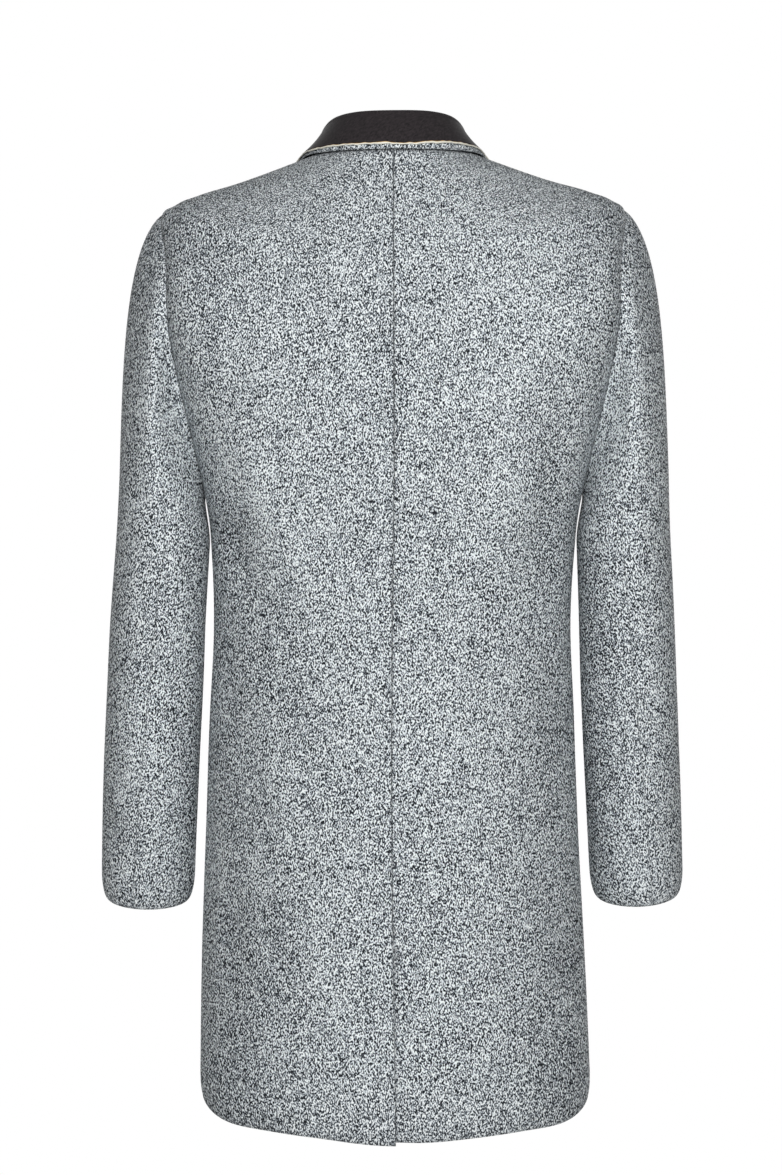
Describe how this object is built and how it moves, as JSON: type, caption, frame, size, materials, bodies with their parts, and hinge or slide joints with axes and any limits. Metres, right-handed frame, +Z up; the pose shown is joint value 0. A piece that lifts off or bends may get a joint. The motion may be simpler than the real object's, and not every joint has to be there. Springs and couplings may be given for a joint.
{
  "type": "loden coat",
  "caption": "Thigh-length single-breasted wool coat, filled out as worn, with two-piece sleeves, a back vent and a dark piped turn-down collar.",
  "frame": {"origin": "between the wearer's shoulders, at the height of the neck points, where the coat is carried", "axes": "+Z up along the wearer; the wearer faces -Y, so the back of the coat faces +Y; +X is the wearer's left"},
  "size_m": [0.5593, 0.289, 0.9416],
  "materials": {
    "coat_cloth": "grey, white and black salt-and-pepper boucle wool",
    "dark_felt": "matte black-brown felted cloth",
    "cream_cord": "cream piping cord with an ochre edge",
    "horn": "dark polished horn"
  },
  "bodies": {
    "root": {"back_left": "coat_cloth", "back_right": "coat_cloth", "front_left": "coat_cloth", "front_right": "coat_cloth", "lapel_left": "coat_cloth", "lapel_right": "coat_cloth", "top_sleeve_left": "coat_cloth", "top_sleeve_right": "coat_cloth", "under_sleeve_left": "coat_cloth", "under_sleeve_right": "coat_cloth", "collar_fall": "coat_cloth", "collar_stand": "dark_felt", "collar_top": "dark_felt", "collar_piping": "cream_cord", "button_1": "horn", "button_2": "horn", "button_3": "horn"}
  },
  "joints": []
}
